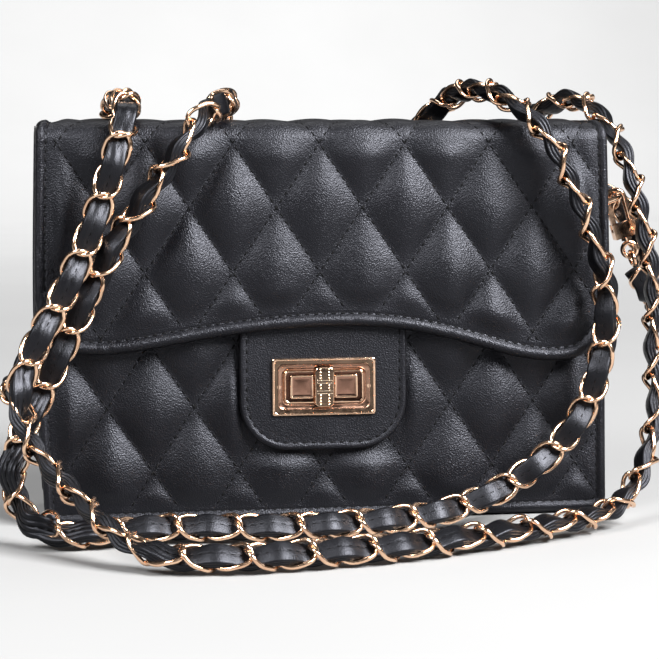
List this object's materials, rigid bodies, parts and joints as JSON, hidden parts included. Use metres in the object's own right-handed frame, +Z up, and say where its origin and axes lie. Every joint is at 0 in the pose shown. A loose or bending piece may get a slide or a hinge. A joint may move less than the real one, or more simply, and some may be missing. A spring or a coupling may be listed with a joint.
{
  "type": "crossbody purse",
  "caption": "Small quilted crossbody purse with a wavy-edged flap, an oblong turn lock on a smooth tab, folded sides and a long woven chain strap clipped to side rings.",
  "frame": {"origin": "middle of the flat base, on the standing surface", "axes": "+Z up, +Y to the back of the purse, +X to the wearer's right as the front is faced"},
  "size_m": [0.2543, 0.1751, 0.16],
  "materials": {
    "quilted_leather": "soft black grained leather, semi-matt, quilted",
    "smooth_leather": "smooth black leather, semi-matt",
    "lining_fabric": "black woven polyester",
    "stiffener": "plain board, hidden",
    "rose_gold": "polished pale rose gold plating",
    "plain_steel": "plain plated steel"
  },
  "bodies": {
    "root": {"front_panel": "quilted_leather", "back_panel": "quilted_leather", "base_panel": "quilted_leather", "left_gusset": "quilted_leather", "right_gusset": "quilted_leather", "lining": "lining_fabric", "base_board": "stiffener", "inner_pocket": "lining_fabric", "lock_base_plate": "rose_gold", "lock_backing_plate": "plain_steel", "lock_rivets": "rose_gold", "left_ring_tab": "smooth_leather", "right_ring_tab": "smooth_leather", "left_strap_end": "smooth_leather", "right_strap_end": "smooth_leather"},
    "flap": {"flap": "quilted_leather", "flap_lining": "lining_fabric", "flap_binding": "smooth_leather", "lock_tab": "smooth_leather", "lock_frame": "rose_gold", "lock_inlays": "rose_gold", "frame_back_plate": "plain_steel", "frame_screws": "rose_gold", "strap": "smooth_leather"},
    "turn_lock": {"turn_bar": "rose_gold", "turn_shaft": "rose_gold"},
    "left_ring": {"left_ring": "rose_gold"},
    "left_hook": {"left_hook": "rose_gold", "left_gate_pin": "rose_gold"},
    "left_gate": {"left_gate": "rose_gold"},
    "left_swivel": {"left_swivel": "rose_gold", "left_end_link": "rose_gold"},
    "right_ring": {"right_ring": "rose_gold"},
    "right_hook": {"right_hook": "rose_gold", "right_gate_pin": "rose_gold"},
    "right_gate": {"right_gate": "rose_gold"},
    "right_swivel": {"right_swivel": "rose_gold", "right_end_link": "rose_gold"}
  },
  "joints": [
    {"name": "flap_hinge", "type": "hinge", "parent": "root", "child": "flap", "pos_m": [0, 0.022, 0.1323], "axis": [-1, 0, 0], "range_deg": [0, 120], "deforming": ["strap", "left_strap_end", "right_strap_end"]},
    {"name": "lock_turn", "type": "hinge", "parent": "root", "child": "turn_lock", "pos_m": [-0.0015, -0.02518, 0.048], "axis": [0, -0.9993, 0.0379], "range_deg": [0, 90]},
    {"name": "left_ring_swing", "type": "hinge", "parent": "root", "child": "left_ring", "pos_m": [-0.0955, -0.006, 0.108], "axis": [0, 1, 0], "range_deg": [0, 110]},
    {"name": "left_hook_swing", "type": "hinge", "parent": "left_ring", "child": "left_hook", "pos_m": [-0.0955, -0.006, 0.093], "axis": [0, 1, 0], "range_deg": [0, 100]},
    {"name": "left_gate_press", "type": "hinge", "parent": "left_hook", "child": "left_gate", "pos_m": [-0.0987, -0.006, 0.0817], "axis": [0, 1, 0], "range_deg": [0, 20], "stiffness_Nm_per_rad": 0.01, "springref_deg": -17.19},
    {"name": "left_swivel_turn", "type": "hinge", "parent": "left_hook", "child": "left_swivel", "pos_m": [-0.0955, -0.006, 0.0776], "axis": [0, 0, -1], "continuous": true},
    {"name": "right_ring_swing", "type": "hinge", "parent": "root", "child": "right_ring", "pos_m": [0.0955, -0.006, 0.108], "axis": [0, -1, 0], "range_deg": [-30, 40]},
    {"name": "right_hook_swing", "type": "hinge", "parent": "right_ring", "child": "right_hook", "pos_m": [0.1096, -0.006, 0.11313], "axis": [0, -1, 0], "range_deg": [-20, 80]},
    {"name": "right_gate_press", "type": "hinge", "parent": "right_hook", "child": "right_gate", "pos_m": [0.10984, -0.006, 0.10139], "axis": [0, 1, 0], "range_deg": [0, 20], "stiffness_Nm_per_rad": 0.01, "springref_deg": -17.19},
    {"name": "right_swivel_turn", "type": "hinge", "parent": "right_hook", "child": "right_swivel", "pos_m": [0.1141, -0.006, 0.0984], "axis": [0.2924, 0, -0.9563], "continuous": true}
  ]
}
